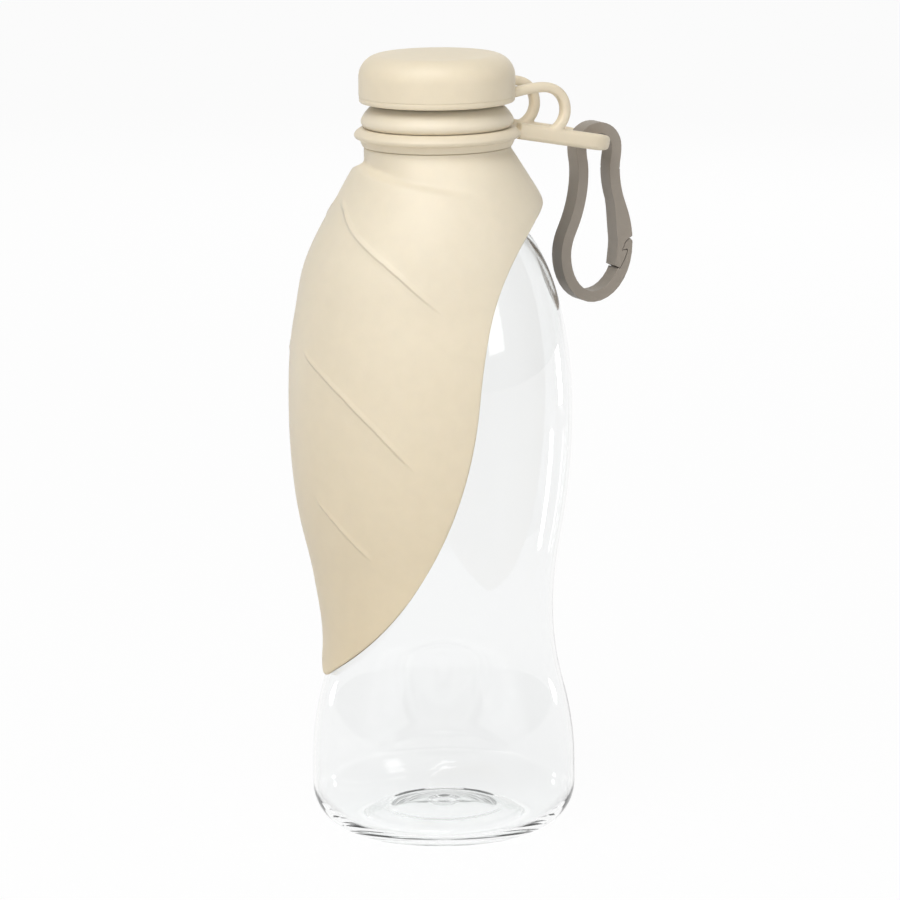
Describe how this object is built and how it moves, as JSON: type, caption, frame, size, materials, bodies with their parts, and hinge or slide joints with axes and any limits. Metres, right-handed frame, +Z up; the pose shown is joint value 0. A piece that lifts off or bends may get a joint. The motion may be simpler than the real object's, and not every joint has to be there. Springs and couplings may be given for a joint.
{
  "type": "dog travel water bottle",
  "caption": "Clear waisted water bottle for walks with a silicone leaf moulded round it that folds out as a drinking bowl, a tethered stopper cap and a snap carabiner.",
  "frame": {"origin": "centre of the ring that the bottle stands on, on the bottle's axis", "axes": "+Z up along the bottle's axis, +X towards the tether and carabiner, the leaf's midrib 11 degrees off -X towards +Y"},
  "size_m": [0.1045, 0.0813, 0.225],
  "materials": {
    "clear_pet": "clear blown bottle plastic",
    "beige_silicone": "soft matt silicone",
    "clear_silicone": "milky sealing silicone",
    "cream_plastic": "satin moulded plastic",
    "taupe_plastic": "satin moulded plastic"
  },
  "bodies": {
    "root": {"bottle": "clear_pet"},
    "top": {"screw_collar": "cream_plastic", "mouth_gasket": "clear_silicone", "leaf_collar": "beige_silicone"},
    "leaf": {"leaf_blade": "beige_silicone"},
    "tether": {"tether_ring": "beige_silicone", "strap_front": "beige_silicone", "strap_rear": "beige_silicone"},
    "cap": {"cap_shell": "beige_silicone", "cap_core": "cream_plastic", "cap_seal": "clear_silicone"},
    "carabiner": {"carabiner_frame": "taupe_plastic"},
    "gate": {"carabiner_gate": "taupe_plastic"}
  },
  "joints": [
    {"name": "collar_turn", "type": "hinge", "parent": "root", "child": "top", "pos_m": [0, 0, 0.2], "axis": [0, 0, 1], "range_deg": [0, 540]},
    {"name": "leaf_fold", "type": "hinge", "parent": "top", "child": "leaf", "pos_m": [-0.01963, 0.00382, 0.183], "axis": [0.1908, 0.9816, 0], "range_deg": [0, 50], "stiffness_Nm_per_rad": 0.1, "springref_deg": -11.46, "deforming": ["leaf_blade"]},
    {"name": "tether_swivel", "type": "hinge", "parent": "top", "child": "tether", "pos_m": [0, 0, 0.2], "axis": [0, 0, 1], "range_deg": [-120, 100]},
    {"name": "cap_swing", "type": "hinge", "parent": "tether", "child": "cap", "pos_m": [0.03, 0, 0.2078], "axis": [0, 1, 0], "range_deg": [0, 120], "deforming": ["strap_front", "strap_rear"]},
    {"name": "carabiner_swing", "type": "hinge", "parent": "tether", "child": "carabiner", "pos_m": [0.0503, 0, 0.19647], "axis": [0, -1, 0], "range_deg": [0, 90]},
    {"name": "carabiner_gate_turn", "type": "hinge", "parent": "carabiner", "child": "gate", "pos_m": [0.0554, 0, 0.18717], "axis": [0, 1, 0], "range_deg": [0, 25], "stiffness_Nm_per_rad": 0.03, "springref_deg": -5.73}
  ]
}
